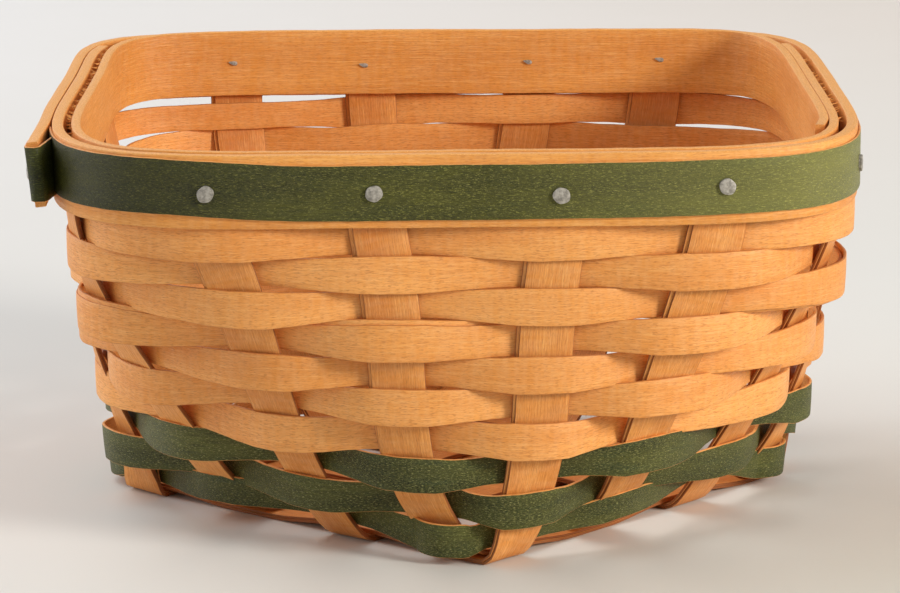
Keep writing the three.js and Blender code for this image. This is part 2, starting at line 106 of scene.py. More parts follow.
# Where the sixteen uprights stand, counted from the front left round to the right. Each one's sway
# is a share of its width. The shifts of its top, its bow and its waver are in hundredths of a radian.
SIDE_STAKES = 4
STATIONS = 4 * SIDE_STAKES
BACK_SIDE = 2
INNER_PLACE = 0.113 * RIM_SIDE
OUTER_PLACE = 0.3167 * RIM_SIDE
BACK_OUTER_PLACE = 0.3009 * RIM_SIDE
OUTER_LANE = BASE_HALF - STAKE_WIDTH / 2
LANE_SHARES = (-1, -1 / 3, 1 / 3, 1)
BASE_SHIFT = 2
SWAY_SHARES = (-0.05, 0.06, -0.04, -0.28, 0.1, 0.03, 0, 0, 0, 0, 0, 0, 0, 0, 0.02, 0.13)
RIM_SHIFTS = {0: 2.3, 1: 2.0, 2: -0.4, 3: -1.5, 4: -2.2, 5: -1.0, 8: -0.5, 9: -0.7, 11: 1.5, 14: 2.0, 15: 2.2}
BOW_SHIFTS = {0: 1.4, 1: -2.2, 2: 0.4, 3: -1.6, 4: -5.0, 5: -4.0, 14: 6.0, 15: 4.8}
WAVER_SHIFTS = {0: 1.3, 1: 1.4, 2: -0.9, 3: 0.7, 4: -1.3, 15: -1.5}
DRIFT_SHARE = 0.6
DRIFT_POWER = 1.09
LATE_DRIFT_POWER = 8

# The stakes' course, from their tops down to the fold and over and under across the base.
WRAP_SHIFT = 1.3
JOIN_HEIGHT = 7.0
WRAP_FADE = 20.0
UNDER_BEND_START = 0.9
OVER_BEND_START = 5.5
PLY_THICKNESS = 0.74
PLY_SHIFT = 1.15
PLY_SEAT = 0.01
STAKE_TOP = 111.5
LOW_LEVEL = 0.8
HIGH_LEVEL = 2.6
WALL_STEPS = 60
BASE_STEPS = 70
FOLD_STEPS = 9
ANGLE_STEP = 0.002
HEIGHT_STEP = 0.15


def smooth(share):
    return 0.5 - 0.5 * np.cos(np.pi * np.clip(share, 0, 1))


def unit(vectors):
    return vectors / np.linalg.norm(vectors, axis=-1, keepdims=True)


def level_direction(angle):
    return np.stack([np.cos(angle), np.sin(angle), np.zeros_like(angle)], -1)


def square_radius(angle, half, corner):
    """How far the edge of a rounded square is from its middle, at an angle."""
    quarter = np.pi / 2
    turn = np.abs(angle - quarter * np.round(angle / quarter))
    flat = half - corner
    along = flat * (np.cos(turn) + np.sin(turn))
    rounded = along + np.sqrt(np.maximum(along ** 2 - 2 * flat ** 2 + corner ** 2, 0))
    return np.where(half * np.tan(turn) <= flat, half / np.cos(turn), rounded)


def rim_radius(angle):
    """The rim as it was bent by hand: a bowed square, slack at the front and pulled in at the back."""
    x, y = np.cos(angle), np.sin(angle)
    half_x = np.where(x > 0, RIM_RIGHT, RIM_LEFT)
    half_y = np.where(y > 0, RIM_BACK, RIM_FRONT)
    backward = smooth(BACKWARD_SPREAD * y + 0.5)
    power = FRONT_SQUARENESS + (BACK_SQUARENESS - FRONT_SQUARENESS) * backward
    bowed = (np.abs(x / half_x) ** power + np.abs(y / half_y) ** power) ** (-1 / power)
    pulled = LEFT_SKEW * y * np.maximum(-x, 0) ** 2 + BACK_SKEW * x * np.maximum(y, 0) ** 3
    return bowed * (1 - pulled)


def cornerwards(facing):
    """Zero in the middle of each side of the base and one at its corners."""
    return 0.5 - 0.5 * np.cos(4 * facing)


def wall_point(angle, height):
    """The wall's middle surface: the bowed rim settles into the turned square of the base."""
    share = np.clip(1 - height / BAND_BOTTOM, 0, 1)
    facing = angle - np.pi / 4 - BASE_TURN
    power = FLARE_POWER + CORNER_POWER * cornerwards(facing)
    lean = (1 - KICK_SHARE) * share ** power + KICK_SHARE * share ** KICK_POWER
    soft_corner = BASE_CORNER + WALL_SOFTENING * (1 - share ** SOFTENING_POWER)
    square = square_radius(angle, RIM_HALF, RIM_RADIUS)
    rim = square + (rim_radius(angle) - square) * (1 - share)
    base = square_radius(facing, BASE_HALF, soft_corner)
    point = level_direction(angle) * (rim + (base - rim) * lean)[..., None]
    point[..., 2] = height
    return point


def wall_along(angle, height):
    return unit(wall_point(angle + ANGLE_STEP, height) - wall_point(angle - ANGLE_STEP, height))


def wall_out(angle, height):
    rise = wall_point(angle, height + HEIGHT_STEP) - wall_point(angle, height - HEIGHT_STEP)
    return unit(np.cross(wall_along(angle, height), rise))


def make_station(index):
    """Where an upright stands at the rim, and where its stake leaves the edge of the base."""
    side, number = divmod(index, SIDE_STAKES)
    outer = BACK_OUTER_PLACE if side == BACK_SIDE else OUTER_PLACE
    rim_place = (-outer, -INNER_PLACE, INNER_PLACE, outer)[number]
    base_side, base_number = divmod((index - BASE_SHIFT) % STATIONS, SIDE_STAKES)
    lane = OUTER_LANE * LANE_SHARES[base_number]
    base_facing = BASE_TURN - math.pi / 4 + base_side * math.pi / 2
    rim_angle = (side - 1) * math.pi / 2 + math.atan2(rim_place, RIM_HALF)
    base_angle = base_facing + math.atan2(lane, BASE_HALF)
    base_angle -= round((base_angle - rim_angle) / (2 * math.pi)) * 2 * math.pi
    sway = SWAY_SHARES[index] * STAKE_WIDTH / RIM_HALF
    return {
        "under": index % 2 == 0, "base_facing": base_facing, "lane": lane, "side": side,
        "rim_angle": rim_angle, "rim_place": rim_place, "base_angle": base_angle,
        "sway": sway + BOW_SHIFTS.get(index, 0) / 100,
        "rim_shift": RIM_SHIFTS.get(index, 0) / 100, "waver": WAVER_SHIFTS.get(index, 0) / 100,
    }


stations = [make_station(index) for index in range(STATIONS)]


def station_angle(station, height):
    """The upright's angle round the basket at a height: it drifts from its rim place to its lane."""
    share = np.clip(1 - height / BAND_BOTTOM, 0, 1)
    drift = DRIFT_SHARE * share ** DRIFT_POWER + (1 - DRIFT_SHARE) * share ** LATE_DRIFT_POWER
    turned_angle = station["rim_angle"] + (station["base_angle"] - station["rim_angle"]) * drift
    turned_angle = turned_angle + station["sway"] * np.sin(np.pi * share)
    return turned_angle + station["rim_shift"] * (1 - share) + station["waver"] * np.sin(2 * np.pi * share)


def wrap_shift(station, height):
    """Near the base an upright that comes from under the edge stands out, and the next one in."""
    fade = 1 - smooth((height - JOIN_HEIGHT) / (WRAP_FADE - JOIN_HEIGHT))
    return (WRAP_SHIFT if station["under"] else -WRAP_SHIFT) * fade


def stake_point(station, height):
    angle = station_angle(station, height)
    outward = np.cross(wall_along(angle, height), (0, 0, 1))
    return wall_point(angle, height) + outward * wrap_shift(station, height)[..., None]


def wall_run(station, heights):
    """Points down a wall, the level direction across the stake and the upward direction."""
    point = stake_point(station, heights)
    across = wall_along(station_angle(station, heights), heights)
    rise = unit(stake_point(station, heights + HEIGHT_STEP) - stake_point(station, heights - HEIGHT_STEP))
    return point, across, rise


def hermite(start, start_way, end, end_way, share):
    square, cube = share ** 2, share ** 3
    return (start * (2 * cube - 3 * square + 1) + start_way * (cube - 2 * square + share)
            + end * (3 * square - 2 * cube) + end_way * (cube - square))


def bend(wall_end, base_end):
    """The fold between a wall and the base, without its two ends."""
    (wall_spot, wall_across, wall_way), (base_spot, base_across, base_way) = wall_end, base_end
    span = np.linalg.norm(base_spot - wall_spot)
    shares = (np.arange(1, FOLD_STEPS) / FOLD_STEPS)[:, None]
    point = hermite(wall_spot, wall_way * span, base_spot, base_way * span, shares)
    return point, unit(wall_across * (1 - shares) + base_across * shares)


def base_run(station, over_under):
    """The stake's middle line across the base, wave over and under the four it crosses."""
    inward = -level_direction(np.array(station["base_facing"]))
    across = np.cross((0, 0, 1), inward)
    starts = [UNDER_BEND_START if low else OVER_BEND_START for low in over_under]
    travel = np.linspace(starts[0] - BASE_HALF, BASE_HALF - starts[-1], BASE_STEPS)
    lanes = [OUTER_LANE * share for share in LANE_SHARES]
    levels = [LOW_LEVEL if low else HIGH_LEVEL for low in over_under]
    marks = [value for lane in lanes for value in (lane - STAKE_WIDTH / 2, lane + STAKE_WIDTH / 2)]
    cell = np.clip(np.searchsorted(marks, travel) - 1, 0, len(marks) - 2)
    marks = np.array(marks)
    share = smooth((travel - marks[cell]) / (marks[cell + 1] - marks[cell]))
    ends = np.repeat(levels, 2)
    point = across * -station["lane"] + inward * travel[:, None]
    point[:, 2] = ends[cell] * (1 - share) + ends[cell + 1] * share
    return point, np.repeat(across[None], len(travel), 0), inward


def stake_line(near, far, over_under):
    """The whole stake from the top of the near wall to the top of the far wall."""
    heights = np.linspace(STAKE_TOP, JOIN_HEIGHT, WALL_STEPS)
    down, down_across, down_rise = wall_run(near, heights)
    up, up_across, up_rise = wall_run(far, heights[::-1])
    floor, floor_across, inward = base_run(near, over_under)
    first, first_across = bend(
        (down[-1], -down_across[-1], -down_rise[-1]), (floor[0], floor_across[0], inward))
    last, last_across = bend(
        (up[0], up_across[0], -up_rise[0]), (floor[-1], floor_across[-1], -inward))
    points = np.concatenate([down, first, floor, last[::-1], up])
    across = np.concatenate([-down_across, first_across, floor_across, last_across[::-1], up_across])
    return points, across


def wave(places, seed, lengths, size):
    """A smooth unevenness along a strip, the same on every run."""
    chance = np.random.RandomState(seed)
    total = np.zeros_like(places)
    for length in lengths:
        total += np.sin(2 * np.pi * places / length + chance.uniform(0, 2 * np.pi))
    return size * total / len(lengths)


def pick(piece, wanted, faces=False):
    """Selects in edit mode the wanted edges or faces."""
    bpy.context.tool_settings.mesh_select_mode = (False, not faces, faces)
    mesh = bmesh.from_edit_mesh(piece.data)
    parts = mesh.faces if faces else mesh.edges
    for part in parts:
        part.select_set(False)
    for part in parts:
        if wanted(part):
            part.select_set(True)
    bmesh.update_edit_mesh(piece.data)


FIRST_CUTS = 25


def flat_strip(name, length, width, thickness, rounding, cells, lanes):
    """A straight splint lying flat, its length along X from zero, its outer face up. Sizes in mm."""
    def lengthwise(edge):
        way = edge.verts[1].co - edge.verts[0].co
        return abs(way.x) > 0.9 * way.length

    def crosswise(edge):
        return abs(edge.verts[1].co.y - edge.verts[0].co.y) > width / 2

    bpy.ops.mesh.primitive_cube_add(size=1, location=(length / 2, 0, 0), scale=(length, width, thickness))
    strip = bpy.context.object
    strip.name = name
    bpy.ops.object.transform_apply(location=True, rotation=True, scale=True)
    bpy.ops.object.mode_set(mode="EDIT")
    pick(strip, lengthwise)
    bpy.ops.mesh.bevel(offset=rounding, segments=2, affect="EDGES")
    first_cut = min(cells, FIRST_CUTS)
    for cuts in (first_cut, round(cells / first_cut)):
        pick(strip, lengthwise)
        bpy.ops.mesh.subdivide(number_cuts=cuts - 1)
    pick(strip, crosswise)
    bpy.ops.mesh.subdivide(number_cuts=lanes - 1)
    bpy.ops.object.mode_set(mode="OBJECT")
    return strip


def select_only(*pieces):
    """Selects these pieces and nothing else, and makes the last one active."""
    bpy.ops.object.select_all(action="DESELECT")
    for piece in pieces:
        piece.select_set(True)
    bpy.context.view_layer.objects.active = pieces[-1]


def copy_piece(pattern, name):
    """A copy of a piece that was modelled once, with a mesh of its own."""
    piece = bpy.data.objects.new(name, pattern.data.copy())
    bpy.context.scene.collection.objects.link(piece)
    return piece


def write_attribute(mesh, name, values):
    kind = "FLOAT_VECTOR" if values.ndim == 2 else "FLOAT"
    layer = mesh.attributes.new(name, kind, "POINT")
    layer.data.foreach_set("vector" if values.ndim == 2 else "value", values.astype(np.float32).ravel())


def travel_along(points):
    """How far along a line of points each of them is."""
    return np.concatenate([[0], np.cumsum(np.linalg.norm(np.diff(points, axis=0), axis=1))])


EDGE_WAVES = (7.3, 13.1, 31.0, 53.0)
LONG_WAVES = (41.0, 77.0, 130.0)
WAY_STEP = 0.6
GRAIN_SPREAD = 900
EDGE_DEPTH = 0.12
SKIN_DEPTH = 0.01


def lay(strip, points, across, shift=None, rough=0.1, crown=0.1, seed=1, narrow=None):
    """Bends a flat strip to a line of points in mm, and keeps its flat place for the grain."""
    mesh = strip.data
    flat = np.zeros(len(mesh.vertices) * 3)
    mesh.vertices.foreach_get("co", flat)
    flat = flat.reshape(-1, 3)
    travelled = travel_along(points)
    x = flat[:, 0] / flat[:, 0].max() * travelled[-1]
    half = np.abs(flat[:, 1]).max()

    def at(table, places):
        return np.stack([np.interp(places, travelled, table[:, k]) for k in range(3)], -1)

    spot = at(points, x)
    way = unit(at(points, np.minimum(x + WAY_STEP, travelled[-1])) - at(points, np.maximum(x - WAY_STEP, 0)))
    side = at(across, x)
    side = unit(side - way * np.sum(side * way, 1, keepdims=True))
    out = np.cross(side, way)
    y = flat[:, 1] + wave(x, seed, EDGE_WAVES, rough) * np.sign(flat[:, 1])
    y = y + wave(x, seed + 7, LONG_WAVES, rough)
    if shift is not None:
        y = y + shift(x / travelled[-1])
    if narrow is not None:
        y = y * np.interp(x, travelled, narrow)
    z = flat[:, 2] + crown * (1 - (flat[:, 1] / half) ** 2)
    placed = spot + side * y[:, None] + out * z[:, None]
    placed[:, 0] += CENTRE_X
    mesh.vertices.foreach_set("co", (placed * MM).ravel())
    chance = np.random.RandomState(seed + 100)
    grain = flat.copy()
    grain[:, 0] = x
    grain += chance.uniform(-GRAIN_SPREAD, GRAIN_SPREAD, 3)
    write_attribute(mesh, "grain", grain)
    write_attribute(mesh, "outer", (flat[:, 2] > flat[:, 2].max() - SKIN_DEPTH).astype(float))
    write_attribute(mesh, "edge", (np.abs(flat[:, 1]) > half - EDGE_DEPTH).astype(float))
    write_attribute(mesh, "along", x)
    mesh.update()
    select_only(strip)
    bpy.ops.object.shade_smooth_by_angle(angle=math.radians(60))


def fill(tree, socket, value):
    """Gives a socket a value, or a link from another node's socket."""
    if isinstance(value, bpy.types.NodeSocket):
        tree.links.new(value, socket)
    else:
        socket.default_value = value


def add_node(tree, kind, **settings):
    """A shader node: names of its own settings, or in_NAME for a value or a link to a socket."""
    node = tree.nodes.new(kind)
    for name, value in settings.items():
        if not name.startswith("in_"):
            setattr(node, name, value)
    for name, value in settings.items():
        if name.startswith("in_"):
            socket = name[3:]
            fill(tree, node.inputs[int(socket) if socket.isdigit() else socket], value)
    return node


def noise(tree, place, along, across, through=1.0, detail=2.0, rough=0.5):
    """Noise with so many cells to the millimetre along, across and through the splint."""
    spot = add_node(
        tree, "ShaderNodeVectorMath", operation="MULTIPLY", in_0=place, in_1=(along, across, through),
    ).outputs[0]
    return add_node(
        tree, "ShaderNodeTexNoise", in_Vector=spot, in_Scale=1.0, in_Detail=detail, in_Roughness=rough,
    ).outputs["Fac"]


def ramp(tree, value, low, high, start=0.0, end=1.0):
    return add_node(
        tree, "ShaderNodeMapRange", in_Value=value, in_1=low, in_2=high, in_3=start, in_4=end,
    ).outputs[0]


def blend(tree, share, first, second, kind="MIX"):
    node = add_node(tree, "ShaderNodeMix", data_type="RGBA", blend_type=kind)
    for socket, value in zip((node.inputs[0], node.inputs[6], node.inputs[7]), (share, first, second)):
        fill(tree, socket, value)
    return node.outputs[2]


def times(tree, first, second):
    return add_node(tree, "ShaderNodeMath", operation="MULTIPLY", in_0=first, in_1=second).outputs[0]


def read_attribute(tree, name, kind="Fac"):
    return add_node(tree, "ShaderNodeAttribute", attribute_name=name).outputs[kind]


def start_material(name, shine=0.32):
    material = bpy.data.materials.new(name)
    material.use_nodes = True
    shader = material.node_tree.nodes["Principled BSDF"]
    shader.inputs["Specular IOR Level"].default_value = shine
    return material, material.node_tree, shader


def finish_material(tree, shader, colour, roughness, relief, strength, depth):
    """Joins the colour and the roughness to the shader, and the relief in metres as its bump."""
    tree.links.new(colour, shader.inputs["Base Color"])
    tree.links.new(roughness, shader.inputs["Roughness"])
    bump = add_node(tree, "ShaderNodeBump", in_Strength=strength, in_Distance=depth, in_Height=relief)
    tree.links.new(bump.outputs[0], shader.inputs["Normal"])


def wood_colour(tree, place, light, dark, fleck, streak, flecks):
    """Tan splint: broad drifts of tone, fine fibres along it, short dark flecks, pale streaks that are partly
    the wood's own and partly painted sheen, and a faint painted sheen across the grain.
    """
    drift = ramp(tree, noise(tree, place, 0.011, 0.05, 0.05, 2.0), 0.36, 0.64)
    fibres = ramp(tree, noise(tree, place, 0.05, 2.6, 1.0, 3.0, 0.7), 0.36, 0.64)
    painted_cross_sheen = ramp(tree, noise(tree, place, 0.55, 0.12, 0.1, 2.0), 0.35, 0.65)
    specks = ramp(tree, noise(tree, place, 0.7, 4.2, 1.0, 1.0), 0.56, 0.70, 0.0, flecks)
    pores = ramp(tree, noise(tree, place, 0.35, 3.2, 1.0, 2.0, 0.7), 0.50, 0.70)
    pale = ramp(tree, noise(tree, place, 0.12, 1.9, 3.0, 3.0, 0.7), 0.50, 0.68)
    base = blend(tree, drift, light, dark)
    base = blend(tree, times(tree, fibres, streak), base, dark)
    # Pale streaks along the grain, partly the wood's own tone and partly painted sheen.
    base = blend(tree, times(tree, pale, 0.30), base, (1, 0.56, 0.20, 1))
    base = blend(tree, times(tree, pores, 0.38), base, fleck)
    # Painted sheen: a faint cream shimmer across the grain.
    base = blend(tree, times(tree, painted_cross_sheen, 0.05), base, (1, 0.86, 0.6, 1))
    return blend(tree, specks, base, fleck), fibres


def tan_wood(name, tones, edge_shade_share, edge_shade_colour, smoothest, roughest, strength):
    """Bare splint, with painted shade along its edges."""
    material, tree, shader = start_material(name)
    colour, fibres = wood_colour(tree, read_attribute(tree, "grain", "Vector"), *tones)
    # Painted shade: the edges are darkened towards the given shade colour.
    edge_shade = times(tree, read_attribute(tree, "edge"), edge_shade_share)
    colour = blend(tree, edge_shade, colour, edge_shade_colour)
    roughness = ramp(tree, fibres, 0, 1, smoothest, roughest)
    finish_material(tree, shader, colour, roughness, fibres, strength, 0.1 * MM)
    return material


def finish_piece(piece, material, slot, *nodes):
    piece.data.materials.clear()
    piece.data.materials.append(material)
    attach(piece, "root")
    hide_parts(*nodes)


# The two uprights that each stake makes, by its family and number.
STAKE_ENDS = {"a": ((2, 13), (3, 12), (4, 11), (5, 10)), "b": ((1, 6), (0, 7), (15, 8), (14, 9))}
FAMILY_SEEDS = {"a": 3, "b": 5}
INNER_PLY_SEED = 400

stake_material = tan_wood("stake_splint_wood", (
    (0.84, 0.362, 0.084, 1), (0.63, 0.215, 0.037, 1), (0.38, 0.11, 0.02, 1), 0.75, 0.3,
), 0.85, (0.20, 0.055, 0.013, 1), 0.46, 0.6, 0.5)
flat_ply = flat_strip("stake_ply_pattern", 360, STAKE_WIDTH, PLY_THICKNESS, 0.2, 150, 4)
for family, ends in STAKE_ENDS.items():
    for number, (near, far) in enumerate(ends, 1):
        odd = family == "b"
        over_under = [(number + cross + 1 + odd) % 2 == 0 for cross in range(SIDE_STAKES)]
        line, line_across = stake_line(stations[near], stations[far], over_under)
        out = unit(np.cross(line_across, np.gradient(line, axis=0)))
        for layer, ply in enumerate(("outer", "inner")):
            name = f"stake_{family}{number}_{ply}_ply"
            strip = copy_piece(flat_ply, name + "_splint")
            side_shift = (lambda share: PLY_SHIFT * (1 - 2 * share)) if layer else None
            level = line + out * (PLY_THICKNESS / 2 + PLY_SEAT) * (-1 if layer else 1)
            seed = 10 * number + FAMILY_SEEDS[family] + INNER_PLY_SEED * layer
            lay(strip, level, line_across, side_shift, 0.07, 0.05, seed)
            finish_piece(strip, stake_material, "stake_splint", name)
bpy.data.meshes.remove(flat_ply.data)


# Tan weavers. Seven single strips of thin tan splint, one to a row from the rim down. Each runs
# round the basket outside one stake and inside the next, springs out a little between them and
# laps over its own start for a few stakes, where friction holds it.
WEAVER_THICKNESS = 0.9
WEAVE_REACH = 1.32
LAP_LAYER = 0.95
ROW_DIP = 0.8
LIFT_REACH = 18.0
LEAN_STEP = 1.0
END_INSET = 1.5
END_GAP = 14.0
LINE_STEP = 0.8
ROW_WAVES = (3, 5, 8)
ROW_WAVE_SIZE = 0.2
SWEEP = np.linspace(0, 2 * np.pi, 1441)

# One value for each row from the rim down, the green ones too: its height, the upright where its
# lap starts and how many uprights it passes twice, its climb, its width and how upright it stands.
ROW_HEIGHTS = (91.1, 82.7, 73.5, 64.4, 54.9, 46.0, 36.0, 25.9, 15.7, 7.2)
LAP_STATIONS = (5, 12, 3, 14, 5, 10, 7, 8, 11, 12)
LAP_COUNTS = (3, 3, 5, 5, 3, 3, 3, 3, 3, 3)
LAP_RISE = (0.6, 0.6, 1.0, -1.6, 0.6, 0.8, 0.8, 0.6, 0.6, 0.4)
WEAVER_WIDTHS = (10.2,) * 7 + (9.8, 9.9, 9.4)
UPRIGHT_SHARES = (0.9,) * 8 + (0.75,) * 2
MIDDLE_LIFTS = (0, 0, 0, 0.2, 0, 0.5, 0.6, 2.2, 1.7, 3.6)
CORNER_LIFTS = (0, 0, 0.1, 0.2, 0.3, 0.6, 0.8, 1.1, 1.1, 0.7)
MIDGAP_NARROWINGS = (0.12,) * 7 + (0.2,) * 3
INSIDE_NARROWINGS = (0.12,) * 6 + (0.09,) + (0.1,) * 3

# What single crossings do, by row and upright: rise in mm, narrow by a share, stand out in mm.
CROSSING_LIFTS = {
    (3, 4): -0.6, (3, 0): -0.5, (4, 15): 0.7, (4, 1): 0.4, (6, 3): 0.9, (6, 15): -0.7, (7, 4): 0.8,
    (7, 0): -0.3, (8, 3): 1.7, (9, 14): 0.5, (9, 4): 0.3, (10, 3): 2.2, (10, 4): 1.5, (10, 15): 1.6,
    (10, 5): 0.3,
}
CROSSING_NARROWINGS = {
    (10, 3): 0.2, (10, 4): 0.18, (10, 15): 0.12, (1, 1): 0.2, (3, 1): 0.18, (5, 1): 0.1,
    (2, 0): 0.2, (4, 0): 0.2, (6, 0): 0.08, (5, 15): 0.12,
}
BULGES = {
    (1, 4): 1.0, (2, 14): -1.0, (2, 15): -0.5, (3, 4): 2.2, (4, 15): 1.0, (5, 4): 1.0,
    (7, 14): -1.0, (8, 5): 1.0, (9, 14): 2.2, (10, 5): -0.5, (10, 13): 2.5,
}

# The tight left side of the lower rows, the rise of the first row along the back, and the
# stretches at the back where the other rows hang slack.
TIGHT_FROM_ROW = 7
LEFT_TIGHTNESS = 0.6
BACK_LIFT = 0.8
BACK_NARROWING = 0.10
BACK_DROP = 0.8


def hump(angle, start, start_fade, end, end_fade):
    """Rises to one after the start angle and falls to zero again after the end one."""
    return smooth((angle - start) / start_fade) * (1 - smooth((angle - end) / end_fade))


def weave_share(gap_share, half, gap_half):
    """How far a springy strip has crossed the wall, from one stake's edge to the next one's."""
    return ((half * gap_share + gap_half * gap_share ** 2 - 2 / 3 * gap_half * gap_share ** 3)
            / (half + gap_half / 3))


def wall_slope(angle, height):
    return -np.arcsin(wall_out(angle, height)[..., 2])


def find_crossings(row, round_travel):
    """The uprights that a row meets in turn: how far round each is and how the strip passes it."""
    height, lap = ROW_HEIGHTS[row - 1], LAP_COUNTS[row - 1]
    crossings = []
    for step in range(STATIONS + lap):
        index = (LAP_STATIONS[row - 1] + step) % STATIONS
        station = stations[index]
        angle = float(station_angle(station, np.array(height))) % (2 * np.pi)
        travel = float(np.interp(angle, SWEEP, round_travel))
        while crossings and travel < crossings[-1]["travel"]:
            travel += round_travel[-1]
        lower = stake_point(station, np.array(height - LEAN_STEP))
        upper = stake_point(station, np.array(height + LEAN_STEP))
        lean = float(np.sum(unit(upper - lower) * wall_along(np.array(angle), np.array(height))))
        outside = 1 if (index + row) % 2 == 1 else -1
        slope = float(wall_slope(np.array(angle), np.array(height)))
        clearance = WEAVER_WIDTHS[row - 1] / 2 * math.sin(abs(slope) * UPRIGHT_SHARES[row - 1])
        reach = outside * (WEAVE_REACH + clearance + BULGES.get((row, index), 0))
        if step < lap:
            reach -= LAP_LAYER / 2 * (1 - outside)
        if step >= STATIONS:
            reach += LAP_LAYER / 2 * (1 + outside)
        crossings.append({
            "travel": travel, "half": STAKE_WIDTH / 2 / math.sqrt(1 - lean * lean), "reach": reach,
            "outside": outside, "shift": float(wrap_shift(station, np.array(height))),
            "lift": CROSSING_LIFTS.get((row, index), 0),
            "narrowing": CROSSING_NARROWINGS.get((row, index), 0),
        })
    return crossings


def weave(places, crossings):
    """How far the strip stands from the wall in mm, and its tide: 1 outside an upright, -1 inside."""
    offset = np.zeros_like(places)
    tide = np.zeros_like(places)
    for here, there in zip(crossings, crossings[1:] + [None]):
        gap_half = END_GAP
        if there is not None:
            gap_half = (there["travel"] - here["travel"] - here["half"] - there["half"]) / 2
        curve = here["reach"] / (here["half"] * gap_half + gap_half ** 2 / 3)
        away = places - here["travel"]
        on = np.abs(away) <= here["half"]
        bow = curve * (here["half"] ** 2 - away ** 2) / 2
        from_offset = here["reach"] + here["shift"]
        offset = np.where(on, from_offset + bow, offset)
        tide = np.where(on, here["outside"], tide)
        if there is None:
            break
        leave = here["travel"] + here["half"]
        gap = (places > leave) & (places < there["travel"] - there["half"])
        share = np.clip((places - leave) / (2 * gap_half), 0, 1)
        crossed = weave_share(share, (here["half"] + there["half"]) / 2, gap_half)
        to_offset = there["reach"] + there["shift"]
        offset = np.where(gap, from_offset + (to_offset - from_offset) * crossed, offset)
        tide = np.where(gap, here["outside"] + (there["outside"] - here["outside"]) * crossed, tide)
    return offset, tide


def lift_and_narrow(row, places, angle, tide, crossings):
    """How much the row rises in mm, how wide it stays and how slack it hangs, place by place."""
    corner = cornerwards(angle - np.pi / 4 - BASE_TURN)
    lift = MIDDLE_LIFTS[row - 1] * (1 - corner) + CORNER_LIFTS[row - 1] * corner
    narrow = MIDGAP_NARROWINGS[row - 1] * (1 - tide ** 2) + INSIDE_NARROWINGS[row - 1] * np.maximum(-tide, 0)
    if row >= TIGHT_FROM_ROW:
        narrow = narrow * (1 - LEFT_TIGHTNESS * smooth(0.3 - np.cos(angle)))
    narrow = 1 - narrow
    for here in crossings:
        nearby = np.exp(-((places - here["travel"]) / LIFT_REACH) ** 2)
        lift = lift + here["lift"] * nearby
        narrow = narrow - here["narrowing"] * nearby
    slack = hump(angle, 1.72, 0.2, 2.6, 0.3)
    if row == 1:
        lift = lift + BACK_LIFT * hump(angle, 0.4, 0.25, 1.6, 0.15)
    else:
        slack = slack + 0.5 * hump(angle, 0.5, 0.2, 1.0, 0.2)
    return lift, narrow * (1 - BACK_NARROWING * slack), slack


def weaver_line(row):
    """Points round the basket in mm, the downward direction across the strip and its narrowing."""
    height = ROW_HEIGHTS[row - 1]
    round_travel = travel_along(wall_point(SWEEP, np.full_like(SWEEP, height)))
    whole = round_travel[-1]
    crossings = find_crossings(row, round_travel)
    first, last = crossings[0], crossings[-1]
    start = first["travel"] - first["half"] + END_INSET
    places = np.arange(start, last["travel"] + last["half"] - END_INSET, LINE_STEP)
    offset, tide = weave(places, crossings)
    angle = np.interp(places % whole, round_travel, SWEEP)
    lift, narrow, slack = lift_and_narrow(row, places, angle, tide, crossings)
    climb = LAP_RISE[row - 1] * ((places - places[0]) / (places[-1] - places[0]) - 0.5)
    uneven = wave(places, 31 * row, [whole / count for count in ROW_WAVES], ROW_WAVE_SIZE)
    dip = ROW_DIP * (row - 1) / (len(ROW_HEIGHTS) - 1) * tide
    heights = height + lift + climb + uneven - dip - BACK_DROP * slack
    flat_out = unit(wall_out(angle, heights) * np.array([1.0, 1.0, 0.0]))
    tipped = (wall_slope(angle, heights) * (1 - UPRIGHT_SHARES[row - 1]))[:, None]
    out = flat_out * np.cos(tipped) - np.array([0, 0, 1.0]) * np.sin(tipped)
    point = wall_point(angle, heights) + flat_out * offset[:, None]
    down = -unit(np.cross(out, wall_along(angle, heights)))
    return point, down, narrow


def flat_weaver(name, width):
    return flat_strip(name, 800, width, WEAVER_THICKNESS, 0.22, 400, 4)


def add_weaver(strip, row, material, slot):
    line, down, narrow = weaver_line(row)
    lay(strip, line, down, None, 0.12, 0.1, 50 + row, narrow)
    finish_piece(strip, material, slot, f"weaver_{row:02d}")


weaver_material = tan_wood("weaver_splint_wood", (
    (0.91, 0.408, 0.105, 1), (0.74, 0.280, 0.056, 1), (0.42, 0.13, 0.025, 1), 0.6, 0.5,
), 0.5, (0.40, 0.125, 0.026, 1), 0.42, 0.56, 0.45)
tan_weaver = flat_weaver("weaver_pattern", WEAVER_WIDTHS[0])
for row in range(1, 8):
    add_weaver(copy_piece(tan_weaver, f"weaver_{row:02d}_splint"), row, weaver_material, "weaver_splint")
bpy.data.meshes.remove(tan_weaver.data)


# Green weavers. The three lowest rows are the same splint with dark green stain rubbed into the
# outer face only. The cut edges and the back stay tan, and pale flecks of grain show through.
BARE_WOOD = ((0.88, 0.42, 0.12, 1), (0.74, 0.30, 0.06, 1), (0.38, 0.12, 0.025, 1), 0.5, 0.4)


